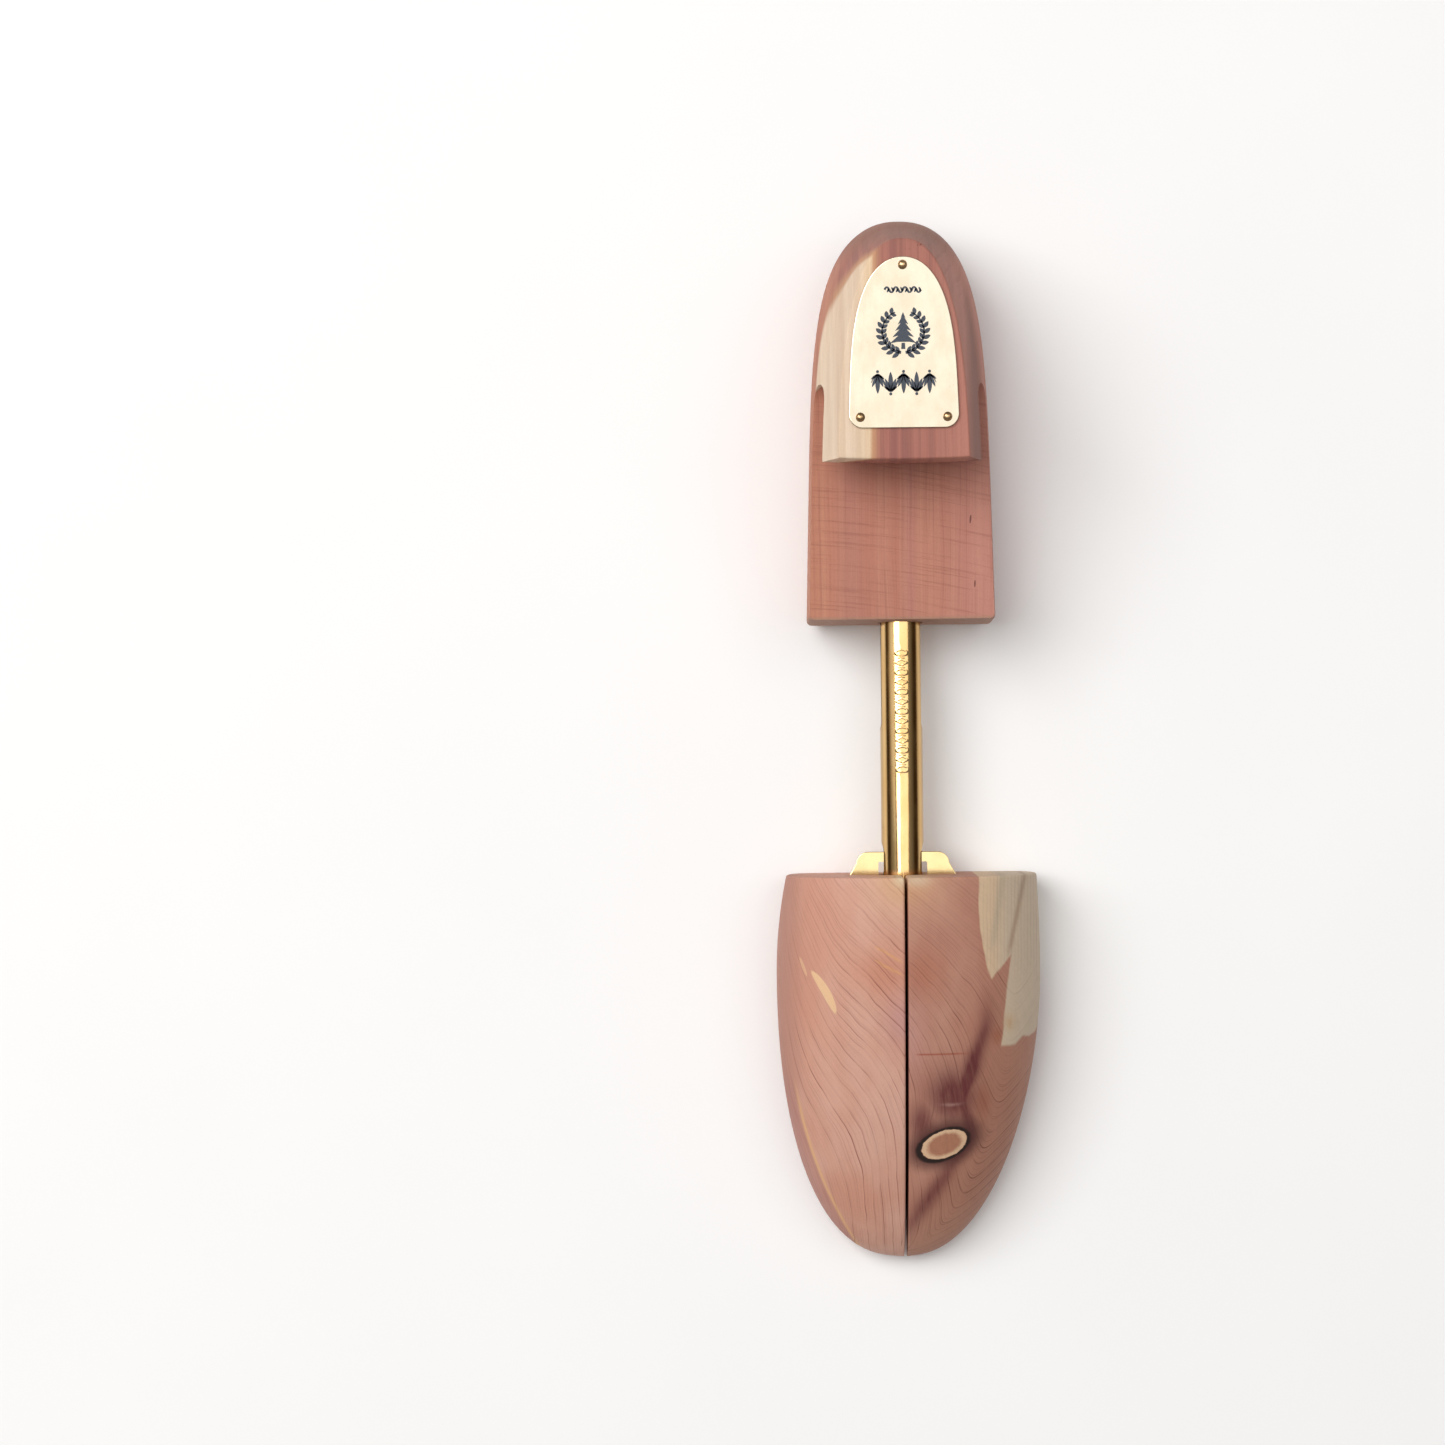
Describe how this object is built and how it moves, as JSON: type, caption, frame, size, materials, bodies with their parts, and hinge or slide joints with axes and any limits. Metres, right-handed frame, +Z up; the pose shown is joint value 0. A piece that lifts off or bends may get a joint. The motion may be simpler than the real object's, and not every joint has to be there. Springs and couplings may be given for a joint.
{
  "type": "shoe tree",
  "caption": "Split-toe cedar shoe tree: a heel block with an overhanging handle, a sprung brass tube and a toe in two halves that spread on a slotted plate.",
  "frame": {"origin": "middle of the whole width and length, on the flat surface that the tree stands on", "axes": "+Y towards the heel, -Y towards the toe, +X to the right seen from above with the heel away, +Z up"},
  "size_m": [0.079, 0.309, 0.0702],
  "materials": {
    "cedar_heel": "sanded bare cedar",
    "cedar_toe_left": "sanded bare cedar",
    "cedar_toe_right": "sanded bare cedar with a knot",
    "nameplate_brass": "brushed pale brass",
    "nail_brass": "polished",
    "tube_brass": "bright plated",
    "plate_brass": "bright plated",
    "pin_brass": "plain",
    "steel": "zinc plated"
  },
  "bodies": {
    "heel_body": {"heel_block": "cedar_heel", "nameplate": "nameplate_brass", "nameplate_nail_rear": "nail_brass", "nameplate_nail_left": "nail_brass", "nameplate_nail_right": "nail_brass", "cross_pin": "steel", "spring_seat": "steel", "main_spring": "steel"},
    "tube_body": {"tube": "tube_brass", "spring_stop": "steel", "toe_plate": "plate_brass"},
    "left_pin_body": {"pivot_pin_left": "pin_brass"},
    "right_pin_body": {"pivot_pin_right": "pin_brass"},
    "left_toe_body": {"toe_half_left": "cedar_toe_left"},
    "right_toe_body": {"toe_half_right": "cedar_toe_right"}
  },
  "joints": [
    {"name": "tube_slide", "type": "slide", "parent": "heel_body", "child": "tube_body", "axis": [0, 1, 0], "range_m": [0, 0.04], "stiffness_N_per_m": 800, "springref_m": -0.02, "deforming": ["main_spring"]},
    {"name": "left_pin_slide", "type": "slide", "parent": "tube_body", "child": "left_pin_body", "axis": [-0.6428, 0.766, 0], "range_m": [0, 0.006]},
    {"name": "right_pin_slide", "type": "slide", "parent": "tube_body", "child": "right_pin_body", "axis": [0.6428, 0.766, 0], "range_m": [0, 0.006]},
    {"name": "left_toe_turn", "type": "hinge", "parent": "left_pin_body", "child": "left_toe_body", "pos_m": [-0.012, -0.05, 0.018], "axis": [0, 0, -1], "range_deg": [0, 2]},
    {"name": "right_toe_turn", "type": "hinge", "parent": "right_pin_body", "child": "right_toe_body", "pos_m": [0.009, -0.05, 0.018], "axis": [0, 0, 1], "range_deg": [0, 2]}
  ]
}
